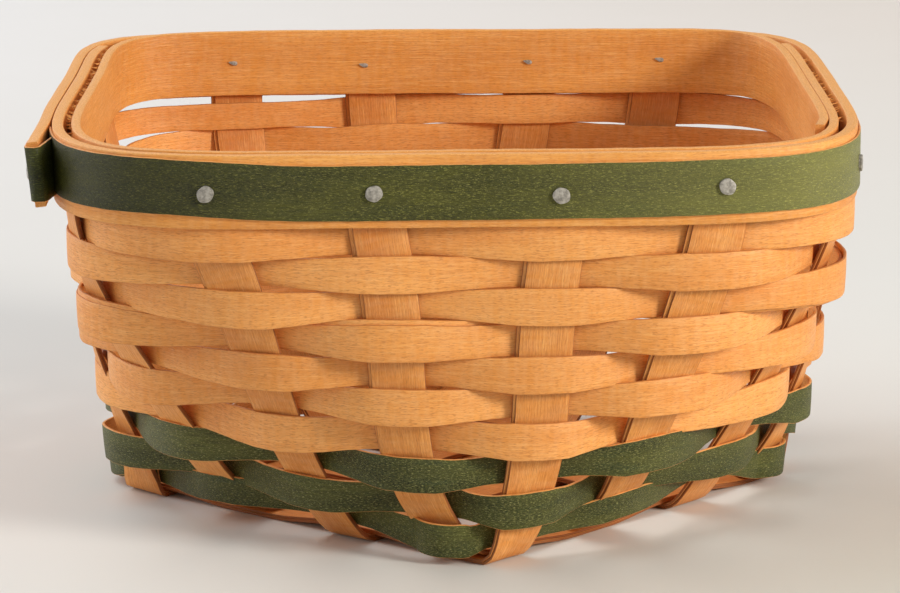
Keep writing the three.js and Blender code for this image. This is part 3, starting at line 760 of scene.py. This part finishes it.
def green_stain(tree, place, deep, pale, fleck, cool):
    """The stain's green, in drifts, cool patches, dark fibres and pale flecks, and its relief."""
    drift = ramp(tree, noise(tree, place, 0.02, 0.1, 0.1, 2.0), 0.36, 0.64)
    patches = ramp(tree, noise(tree, place, 0.06, 0.35, 1.0, 2.0), 0.52, 0.68)
    fibres = ramp(tree, noise(tree, place, 0.16, 2.6, 1.0, 3.0, 0.65), 0.38, 0.66)
    mottle = ramp(tree, noise(tree, place, 1.2, 4.6, 1.0, 3.0, 0.7), 0.44, 0.57)
    specks = ramp(tree, noise(tree, place, 1.1, 5.2, 1.0, 2.0, 0.7), 0.57, 0.67, 0.0, 0.85)
    base = blend(tree, times(tree, patches, 0.6), blend(tree, drift, deep, pale), cool)
    base = blend(tree, times(tree, fibres, 0.8), base, deep)
    base = blend(tree, times(tree, mottle, 0.6), base, pale)
    return blend(tree, specks, base, fleck), mottle


def stained_wood(name, shine, smoothest, roughest, tones, painted_light=None):
    """Splint stained on its outer face only. Painted shade and sheen may be laid over the stain along the
    strip.
    """
    material, tree, shader = start_material(name, shine)
    place = read_attribute(tree, "grain", "Vector")
    bare = wood_colour(tree, place, *BARE_WOOD)[0]
    green, relief = green_stain(tree, place, *tones)
    # Painted light, if given, darkens and lightens the stain along the strip.
    if painted_light is not None:
        green = painted_light(tree, green)
    colour = blend(tree, ramp(tree, read_attribute(tree, "outer"), 0.45, 0.55), bare, green)
    roughness = ramp(tree, relief, 0, 1, smoothest, roughest)
    finish_material(tree, shader, colour, roughness, relief, 0.6, 0.14 * MM)
    return material


green_material = stained_wood("green_splint_wood", 0.28, 0.40, 0.55, (
    (0.016, 0.020, 0.002, 1), (0.110, 0.112, 0.020, 1), (0.36, 0.34, 0.12, 1), (0.030, 0.054, 0.022, 1)))
for row in range(8, 11):
    strip = flat_weaver(f"weaver_{row:02d}_splint", WEAVER_WIDTHS[row - 1])
    add_weaver(strip, row, green_material, "green_splint")


# Outer rim band. One thick bent strip of tan wood on edge, outside the stake tops. It starts at
# the back of the left side, runs round the front and right, and laps outside itself over the
# whole left side, where its free end springs open at the front corner.
OUTER_BAND_THICKNESS = 3.0
TRIM_THICKNESS = 0.7
SEAT = 0.3
TRIM_SEAT = 0.1
STRAIGHT = 2 * (RIM_HALF - RIM_RADIUS)
ARC = RIM_RADIUS * math.pi / 2
SIDE_TRAVEL = STRAIGHT + ARC
FULL_TRAVEL = 4 * SIDE_TRAVEL
LAST_TACK = STRAIGHT / 2 + OUTER_PLACE
BAND_START = 2.0
SPRING_START = FULL_TRAVEL + STRAIGHT / 2 + 44
FREE_END = FULL_TRAVEL + STRAIGHT + 3.5
FLARE = 0.4
END_REACH = 30.0
END_TAPER = 0.09
END_LEAN = 0.12
BACK_RISE = 0.3
RIM_TURN_STEP = 0.004
OUTER_OFFSET = STAKE_THICKNESS / 2 + SEAT + OUTER_BAND_THICKNESS / 2
TRIM_OFFSET = OUTER_OFFSET + OUTER_BAND_THICKNESS / 2 + TRIM_SEAT + TRIM_THICKNESS / 2
RIM_START = math.pi - math.atan2(RIM_HALF - RIM_RADIUS, RIM_HALF)


def on_rim(angle):
    return level_direction(angle) * rim_radius(angle)[..., None]


rim_lengths = travel_along(on_rim(RIM_START + SWEEP))
rim_lengths *= FULL_TRAVEL / rim_lengths[-1]


def rim_spot(angle, offset):
    """A point in mm beside the rim's middle line, and the level way outwards there."""
    along = unit(on_rim(angle + RIM_TURN_STEP) - on_rim(angle - RIM_TURN_STEP))
    outward = np.cross(along, (0, 0, 1))
    return on_rim(angle) + outward * np.asarray(offset)[..., None], outward


def rim_place(travel, offset):
    """Points beside the rim for a travel in mm from the back of the left side."""
    rounds = np.floor(travel / FULL_TRAVEL)
    turn = np.interp(travel - rounds * FULL_TRAVEL, rim_lengths, SWEEP)
    return rim_spot(RIM_START + turn + 2 * np.pi * rounds, offset)[0]


def step_up(travel, start, end):
    return smooth((travel - start) / (end - start))


def lap_offset(travel):
    return (OUTER_BAND_THICKNESS + SEAT) * step_up(travel, FULL_TRAVEL - ARC, FULL_TRAVEL)


def rim_line(start, end, offset, middle_height):
    """A strip on edge round the rim, which leaves it in the end and springs straight on."""
    travel = np.arange(start, end, 1.0)
    points = rim_place(travel, offset + lap_offset(travel))
    leaving = np.array([SPRING_START - 0.5, SPRING_START])
    before, spot = rim_place(leaving, offset + lap_offset(leaving))
    way = unit(spot - before)
    outward = np.cross(way, (0, 0, 1))
    past = (travel - SPRING_START)[:, None]
    sprung = spot + way * past + outward * FLARE * (past / (FREE_END - SPRING_START)) ** 2
    points = np.where(past > 0, sprung, points)
    points[:, 2] = middle_height
    return points


def end_share(points):
    """Zero along the strip, rising to one over the last millimetres of it."""
    travelled = travel_along(points)
    return 1 - smooth((travelled[-1] - travelled) / END_REACH)


def upright(points, lean=0.0):
    """The way down a strip on edge, which may tip outwards at its top towards its far end."""
    way = unit(np.gradient(points, axis=0))
    inward = np.cross((0, 0, 1.0), way)
    return unit(np.array([0.0, 0.0, -1.0]) + inward * (lean * end_share(points))[:, None])


def rim_wood():
    material, tree, shader = start_material("rim_band_wood")
    place = read_attribute(tree, "grain", "Vector")
    edge = read_attribute(tree, "edge")
    colour, fibres = wood_colour(
        tree, place, (0.86, 0.380, 0.080, 1), (0.68, 0.250, 0.042, 1), (0.44, 0.14, 0.026, 1), 0.6, 0.35)
    sawn = ramp(tree, noise(tree, place, 1.4, 3.0, 3.0, 3.0, 0.7), 0.35, 0.65)
    golden = blend(tree, sawn, (0.90, 0.45, 0.13, 1), (0.62, 0.25, 0.05, 1))
    colour = blend(tree, times(tree, edge, 0.9), colour, golden)
    roughness = ramp(tree, fibres, 0, 1, 0.40, 0.55)
    finish_material(tree, shader, colour, roughness, blend(tree, edge, fibres, sawn), 0.45, 0.15 * MM)
    return material


rim_material = rim_wood()
band_middle = BASKET_HEIGHT - BAND_HEIGHT / 2
outer_line = rim_line(BAND_START, FREE_END, OUTER_OFFSET, band_middle)
outer_line[:, 2] += BACK_RISE * np.maximum(outer_line[:, 1] / RIM_BACK, 0)
outer_band = flat_strip("outer_band_splint", 1000, BAND_HEIGHT, OUTER_BAND_THICKNESS, 0.3, 500, 6)
taper = 1 - END_TAPER * end_share(outer_line)
lay(outer_band, outer_line, upright(outer_line, END_LEAN), None, 0.08, 0.0, 71, taper)
finish_piece(outer_band, rim_material, "rim_splint", "outer_band")


# Inner rim band. The same tan strip inside the stake tops, its sawn outer edge left rough. It
# laps itself on the right side, so the end of its innermost layer shows there as a step.
INNER_BAND_THICKNESS = 2.5
INNER_SEAT = 0.12
INNER_RISE = 1.3
INNER_SPRING = 0.9
INNER_SPRING_REACH = 14.0
INNER_END_GAP = 2.0
INNER_OFFSET = -(STAKE_THICKNESS / 2 + SEAT + INNER_BAND_THICKNESS / 2)
INNER_LAP_START = STRAIGHT / 2 - OUTER_PLACE + 1.4

# Its frayed edge: runs of slivers by their start, reach and number, how far below the edge they
# root, how they lean and tip, how long they are, and how wide and high the root is.
FRINGE_RUNS = ((FULL_TRAVEL + 8, 145, 110), (FULL_TRAVEL + 2 * SIDE_TRAVEL + 28, 125, 60))
SLIVER_DEPTHS = (0.15, 1.6)
SLIVER_LEANS = (-0.6, 0.6)
SLIVER_TIPS = (-0.1, 0.5)
SLIVER_LENGTHS = (0.6, 1.5)
SLIVER_ROOT = (0.14, 0.35)
ROOT_DEPTH = 0.15


def set_down(piece, spot, axes):
    """Moves a piece modelled in mm at the origin to its spot, turned to lie along three axes."""
    turn = Matrix(axes).transposed().to_4x4()
    place = Matrix.Translation(Vector(spot + (CENTRE_X, 0, 0)) * MM)
    piece.data.transform(place @ turn @ Matrix.Scale(MM, 4))


def model_sliver():
    """A splinter of wood along X, thick at its root and drawn out to a point that curls up."""
    bpy.ops.mesh.primitive_cube_add(size=1, location=(0.5, 0, 0), scale=(1, *SLIVER_ROOT))
    splinter = bpy.context.object
    bpy.ops.object.transform_apply(location=True, rotation=True, scale=True)
    bpy.ops.object.mode_set(mode="EDIT")
    pick(splinter, lambda face: face.normal.x > 0.9, faces=True)
    bpy.ops.transform.resize(value=(1, 0.5, 0.5))
    bpy.ops.mesh.extrude_region_move(TRANSFORM_OT_translate={"value": (0.5, 0.05, 0.2)})
    bpy.ops.transform.resize(value=(1, 0.2, 0.2))
    bpy.ops.object.mode_set(mode="OBJECT")
    return splinter


def add_hair(place, chance):
    """One copy of the sliver, rooted in the band's edge and pointing outwards from it."""
    spot, further = rim_place(np.array([place, place + 0.5]), INNER_OFFSET + INNER_BAND_THICKNESS / 2)
    edge_height = np.interp(place, inner_travel, inner_line[:, 2]) + BAND_HEIGHT / 2
    spot[2] = edge_height - chance.uniform(*SLIVER_DEPTHS)
    further[2] = spot[2]
    along = unit(further - spot)
    outward = np.cross(along, (0, 0, 1))
    point_way = unit(outward + along * chance.uniform(*SLIVER_LEANS) + (0, 0, chance.uniform(*SLIVER_TIPS)))
    beside = unit(np.cross((0, 0, 1), point_way))
    above = np.cross(point_way, beside)
    hair = copy_piece(sliver, "rim_fringe")
    length = chance.uniform(*SLIVER_LENGTHS)
    set_down(hair, spot - point_way * ROOT_DEPTH, (point_way * length, beside, above))
    grain = np.array([vertex.co[:] for vertex in sliver.data.vertices])
    write_attribute(hair.data, "grain", grain + chance.uniform(-GRAIN_SPREAD, GRAIN_SPREAD, 3))
    write_attribute(hair.data, "edge", np.ones(len(grain)))
    return hair


inner_start = 2 * SIDE_TRAVEL + INNER_LAP_START
inner_turn = 2 * SIDE_TRAVEL + STRAIGHT
inner_travel = np.arange(inner_start, FULL_TRAVEL + inner_turn - INNER_END_GAP, 1.0)
inner_layer = (INNER_BAND_THICKNESS + INNER_SEAT) * (1 - step_up(inner_travel, inner_turn, inner_turn + ARC))
inner_layer += INNER_SPRING * (1 - smooth((inner_travel - inner_start) / INNER_SPRING_REACH))
inner_line = rim_place(inner_travel, INNER_OFFSET - inner_layer)
around = np.arctan2(inner_line[:, 1], inner_line[:, 0])
inner_line[:, 2] = band_middle + INNER_RISE * smooth(1.6 * np.sin(around) - 0.3)
inner_band = flat_strip("inner_band_splint", 900, BAND_HEIGHT, INNER_BAND_THICKNESS, 0.28, 450, 6)
lay(inner_band, inner_line, upright(inner_line), None, 0.08, 0.0, 72)
sliver = model_sliver()
fringe_chance = np.random.RandomState(17)
fringe = []
for first_place, reach, count in FRINGE_RUNS:
    for share in fringe_chance.uniform(0, 1, count):
        fringe.append(add_hair(first_place + reach * share, fringe_chance))
bpy.data.meshes.remove(sliver.data)
select_only(*fringe, inner_band)
bpy.ops.object.join()
finish_piece(inner_band, rim_material, "rim_splint", "inner_band")


# Trim strip. A thinner, narrower strip round the outer band, stained green on its outer face.
# Its start is tucked under the band's lap. Its free end is folded round the end of the band and
# runs back a little way along the inside of the lap.
TRIM_HEIGHT = 14.9
TRIM_START = LAST_TACK - 8.4
TRIM_PAST_END = 1.0
TRIM_DROP = 2.5
CORNER_DROP, CORNER_REACH = 0.9, 45.0
RIGHT_DROP, RIGHT_START, RIGHT_REACH = 2.0, SIDE_TRAVEL + 100, 60.0
END_DROP, END_DROP_START, END_DROP_REACH = 1.7, FREE_END - 40, 35.0
FOLD_TURN = math.radians(177)
FOLD_POINTS = 16
FOLD_LENGTH = 27
fold_radius = OUTER_BAND_THICKNESS / 2 + TRIM_SEAT + TRIM_THICKNESS / 2
trim_run = rim_line(TRIM_START, FREE_END + TRIM_PAST_END, TRIM_OFFSET, 0)
trim_travel = TRIM_START + np.arange(len(trim_run))
corner_share = 1 - smooth((trim_travel - SIDE_TRAVEL) / CORNER_REACH)
right_share = smooth((trim_travel - RIGHT_START) / RIGHT_REACH)
last_share = smooth((trim_travel - END_DROP_START) / END_DROP_REACH)
trim_drop = TRIM_DROP + (CORNER_DROP - TRIM_DROP) * corner_share + (RIGHT_DROP - TRIM_DROP) * right_share
trim_drop += (END_DROP - RIGHT_DROP) * last_share
trim_run[:, 2] = BASKET_HEIGHT - trim_drop - TRIM_HEIGHT / 2
end_way = unit((trim_run[-1] - trim_run[-3]) * np.array([1, 1, 0]))
end_side = np.cross(end_way, (0, 0, 1))
fold_centre = trim_run[-1] - end_side * fold_radius
fold_turns = np.linspace(0, FOLD_TURN, FOLD_POINTS)[1:, None]
fold = fold_centre + (end_side * np.cos(fold_turns) + end_way * np.sin(fold_turns)) * fold_radius
back_way = unit(fold[-1] - fold[-2])
run_back = fold[-1] + back_way * np.arange(1.0, FOLD_LENGTH + 1)[:, None]
trim_line = np.concatenate([trim_run, fold, run_back])
folded_down = unit(np.array([0, 0, -1.0]) - end_side * END_LEAN)
folded_count = len(trim_line) - len(trim_run)
trim_down = np.concatenate([upright(trim_run, END_LEAN), np.repeat(folded_down[None], folded_count, 0)])


def trim_shade_and_sheen(tree, green):
    """Painted shade where the strip starts and from the right side on, and a painted sheen between."""
    along = read_attribute(tree, "along")
    # Painted shade over the strip's start, towards the front left corner.
    green = blend(tree, ramp(tree, along, 50, 130, 0.85, 0.0), green, (0.42, 0.42, 0.30, 1), "MULTIPLY")
    # Painted shade from the right side on, over the free end and its fold.
    green = blend(tree, ramp(tree, along, 300, 400, 0.0, 0.8), green, (0.35, 0.42, 0.25, 1), "MULTIPLY")
    # Painted sheen: a pale olive grey added over the right part of the front and its corner.
    trim_sheen_share = times(tree, ramp(tree, along, 150, 240), ramp(tree, along, 270, 330, 1.0, 0.0))
    return blend(tree, trim_sheen_share, green, (0.125, 0.118, 0.042, 1), "ADD")


trim_material = stained_wood("green_trim_wood", 0.3, 0.36, 0.50, (
    (0.022, 0.022, 0.001, 1), (0.094, 0.091, 0.007, 1), (0.27, 0.255, 0.055, 1), (0.032, 0.042, 0.005, 1),
), trim_shade_and_sheen)
trim_strip = flat_strip("trim_strip_splint", 900, TRIM_HEIGHT, TRIM_THICKNESS, 0.25, 450, 5)
lay(trim_strip, trim_line, trim_down, None, 0.1, 0.0, 73)
finish_piece(trim_strip, trim_material, "green_trim", "trim_strip")


# Tacks. Sixteen small steel tacks, one through the rim at each stake, with flat round heads
# hammered down on the trim. Along the back the points come out inside and are bent over there.
TACK_DROP = 10.0
TACK_NUDGES = {
    0: (-0.7, 0), 1: (-1.3, 0), 2: (0, -0.95), 3: (0.4, 0.7),
    8: (-2.0, 2.0), 9: (-0.9, 1.4), 10: (0.9, 0.6), 11: (0, 1.7),
}
SIDE_NAMES = ("front", "right", "back", "left")
RIGHT_SIDE = 1
HEAD_RADIUS = 2.2
HEAD_HEIGHT = 0.75
HEAD_FACETS = 28
HEAD_STEPS = ((0.3, 0.14), (0.9, 0.04))
SHANK_RADIUS = 0.7
HIDDEN_POINT_DEPTH = 0.5
DENT_FROM_RADIUS = 1.5
DENTS = ((2, 1.0, 0.10), (5, 2.3, 0.06))
FACE_UNEVENNESS = 0.03
HATCH = 0.5
HATCH_TURN = np.array([[0.7, -0.7, 0], [0.7, 0.7, 0], [0, 0, 1.0]])

# The tack at the band's free end holds only that end, and is driven a little further in.
END_TACK = 15
END_TACK_SINK = 0.35
END_TACK_LENGTH = 2.6


def tack_steel():
    material, tree, shader = start_material("tack_steel")
    place = add_node(tree, "ShaderNodeTexCoord").outputs["Object"]
    scuffs = ramp(tree, noise(tree, place, 900, 900, 900, 3.0, 0.6), 0.35, 0.65)
    spread = add_node(tree, "ShaderNodeSeparateXYZ", in_0=read_attribute(tree, "face", "Vector"))
    lines = []
    for axis in (0, 1):
        turn = times(tree, spread.outputs[axis], 2 * math.pi / HATCH)
        lines.append(add_node(tree, "ShaderNodeMath", operation="SINE", in_0=turn).outputs[0])
    hatch = ramp(tree, times(tree, lines[0], lines[1]), -0.6, 0.6)
    colour = blend(tree, scuffs, (0.22, 0.20, 0.17, 1), (0.52, 0.48, 0.41, 1))
    colour = blend(tree, times(tree, hatch, 0.4), colour, (0.20, 0.18, 0.15, 1))
    finish_material(tree, shader, colour, ramp(tree, scuffs, 0, 1, 0.42, 0.65), hatch, 0.5, 0.1 * MM)
    shader.inputs["Metallic"].default_value = 0.35
    return material


def model_head():
    """A tack's flat head, face up, with the shank's root marked off on its underside."""
    bpy.ops.mesh.primitive_cylinder_add(vertices=HEAD_FACETS, radius=HEAD_RADIUS, depth=HEAD_HEIGHT)
    head = bpy.context.object
    bpy.ops.object.mode_set(mode="EDIT")
    pick(head, lambda face: face.normal.z > 0.9, faces=True)
    for width, sink in HEAD_STEPS:
        bpy.ops.mesh.inset(thickness=width, depth=sink)
    pick(head, lambda face: face.normal.z < -0.9, faces=True)
    bpy.ops.mesh.inset(thickness=HEAD_RADIUS - SHANK_RADIUS)
    bpy.ops.object.mode_set(mode="OBJECT")
    return head


def is_shank_root(face):
    return face.normal.z < -0.9 and all(vertex.co.xy.length < SHANK_RADIUS for vertex in face.verts)


def draw_shank(tack, depth, shows):
    """Draws the shank out of the head, and if its point shows bends that over."""
    select_only(tack)
    bpy.ops.object.mode_set(mode="EDIT")
    pick(tack, is_shank_root, faces=True)
    if shows:
        bpy.ops.mesh.extrude_region_move(TRANSFORM_OT_translate={"value": (0, 0, -depth)})
        bpy.ops.mesh.extrude_region_move(TRANSFORM_OT_translate={"value": (0.5, 0.15, -0.55)})
        bpy.ops.transform.resize(value=(0.9, 0.9, 1))
        bpy.ops.mesh.extrude_region_move(TRANSFORM_OT_translate={"value": (1.3, 0.35, -0.05)})
        bpy.ops.transform.resize(value=(0.3, 0.3, 1))
    else:
        bpy.ops.mesh.extrude_region_move(TRANSFORM_OT_translate={"value": (0, 0, HIDDEN_POINT_DEPTH - depth)})
    bpy.ops.object.mode_set(mode="OBJECT")


def dent_head(mesh, index):
    """Hammers a head a little out of round and uneven, each one in its own way."""
    chance = np.random.RandomState(900 + index)
    for vertex in mesh.vertices:
        radius = math.hypot(vertex.co.x, vertex.co.y)
        if vertex.co.z > -HEAD_HEIGHT and radius > DENT_FROM_RADIUS:
            around = math.atan2(vertex.co.y, vertex.co.x)
            dent = sum(size * math.sin(count * around + turn * index) for count, turn, size in DENTS)
            vertex.co.x *= 1 + dent / radius
            vertex.co.y *= 1 + dent / radius
            vertex.co.z += chance.uniform(-FACE_UNEVENNESS, FACE_UNEVENNESS)


def add_tack(head, index, station, material):
    node = f"tack_{SIDE_NAMES[station['side']]}_{index % SIDE_STAKES + 1}"
    nudge_along, nudge_up = TACK_NUDGES.get(index, (0, 0))
    height = BASKET_HEIGHT - TACK_DROP + nudge_up
    angle = station_angle(station, np.array(height)) + nudge_along / RIM_HALF
    spot, out = rim_spot(angle, 0.0)
    spot[2] = height
    along = np.cross((0, 0, 1.0), out)
    beside = trim_run - spot
    near = np.abs(beside @ along) < 1.0
    head_seat = np.max((beside @ out)[near]) + TRIM_THICKNESS / 2
    depth = head_seat - INNER_OFFSET + INNER_BAND_THICKNESS / 2
    if station["side"] == RIGHT_SIDE and station["rim_place"] > INNER_LAP_START - STRAIGHT / 2:
        depth += INNER_BAND_THICKNESS + INNER_SEAT
    if index == END_TACK:
        head_seat, depth = head_seat - END_TACK_SINK, END_TACK_LENGTH
    tack = copy_piece(head, node + "_head")
    draw_shank(tack, depth, station["side"] == BACK_SIDE)
    dent_head(tack.data, index)
    local = np.array([vertex.co[:] for vertex in tack.data.vertices])
    write_attribute(tack.data, "face", local @ HATCH_TURN)
    set_down(tack, spot + out * (head_seat + HEAD_HEIGHT / 2), (along, (0, 0, 1), out))
    bpy.ops.object.shade_smooth_by_angle(angle=math.radians(35))
    finish_piece(tack, material, "tack_steel", node)


steel = tack_steel()
tack_head = model_head()
for index, station in enumerate(stations):
    add_tack(tack_head, index, station, steel)
bpy.data.meshes.remove(tack_head.data)


# Studio. A wide pale sheet under the basket, its colour graded with painted light and shade, a low lamp
# from the right and in front, a broad one from the left and behind, and a weak cool one that gives the
# left side its sheen.
SHEET_SIZE = 12
FLOOR_LEVEL = 0.0


def studio_paper():
    material, tree, shader = start_material("studio_paper")
    place = add_node(tree, "ShaderNodeTexCoord").outputs["Object"]
    mottle = ramp(tree, noise(tree, place, 6, 6, 6, 3.0, 0.6), 0.3, 0.7)
    spread = add_node(tree, "ShaderNodeSeparateXYZ", in_0=place)
    # Painted light and shade: the sheet is graded warmer towards the right and lighter towards the back.
    rightward = ramp(tree, spread.outputs[0], -0.25, 0.25)
    front = blend(tree, rightward, (0.65, 0.64, 0.63, 1), (0.685, 0.65, 0.535, 1))
    middle = blend(tree, rightward, (0.65, 0.635, 0.61, 1), (0.715, 0.69, 0.64, 1))
    wall = blend(tree, rightward, (0.70, 0.69, 0.68, 1), (0.755, 0.69, 0.625, 1))
    colour = blend(tree, ramp(tree, spread.outputs[1], -0.10, 0.08), front, middle)
    colour = blend(tree, ramp(tree, spread.outputs[1], 0.3, 0.9), colour, wall)
    colour = blend(tree, times(tree, mottle, 0.5), colour, (0.97, 0.965, 0.955, 1), "MULTIPLY")
    tree.links.new(colour, shader.inputs["Base Color"])
    shader.inputs["Roughness"].default_value = 0.85
    return material


bpy.ops.mesh.primitive_plane_add(size=SHEET_SIZE, location=(0, 0, FLOOR_LEVEL))
backdrop = bpy.context.object
backdrop.name = "studio_sheet"
bpy.ops.object.transform_apply(location=True, rotation=True, scale=True)
backdrop.data.materials.append(studio_paper())


def add_lamp(name, place, target, size, power, colour):
    data = bpy.data.lights.new(name, "AREA")
    data.shape = "DISK"
    data.size = size
    data.energy = power
    data.color = colour
    lamp = bpy.data.objects.new(name, data)
    bpy.context.scene.collection.objects.link(lamp)
    lamp.location = place
    lamp.rotation_euler = (Vector(target) - Vector(place)).to_track_quat("-Z", "Y").to_euler()


add_lamp("key_lamp", (1.40, -0.95, 0.69), (0, 0, 0.06), 0.50, 27.5, (1.0, 0.98, 0.94))
add_lamp("back_lamp", (-1.20, 0.72, 1.12), (0, 0, 0.05), 2.8, 40, (1.0, 0.99, 0.98))
add_lamp("side_lamp", (-1.30, -0.50, 0.30), (0, 0, 0.06), 0.50, 1.5, (0.92, 0.96, 1.0))
world = bpy.data.worlds.new("studio")
world.use_nodes = True
sky = world.node_tree.nodes["Background"]
sky.inputs["Color"].default_value = (0.93, 0.955, 1.0, 1)
sky.inputs["Strength"].default_value = 0.43
bpy.context.scene.world = world
bpy.context.scene.view_settings.view_transform = "Standard"
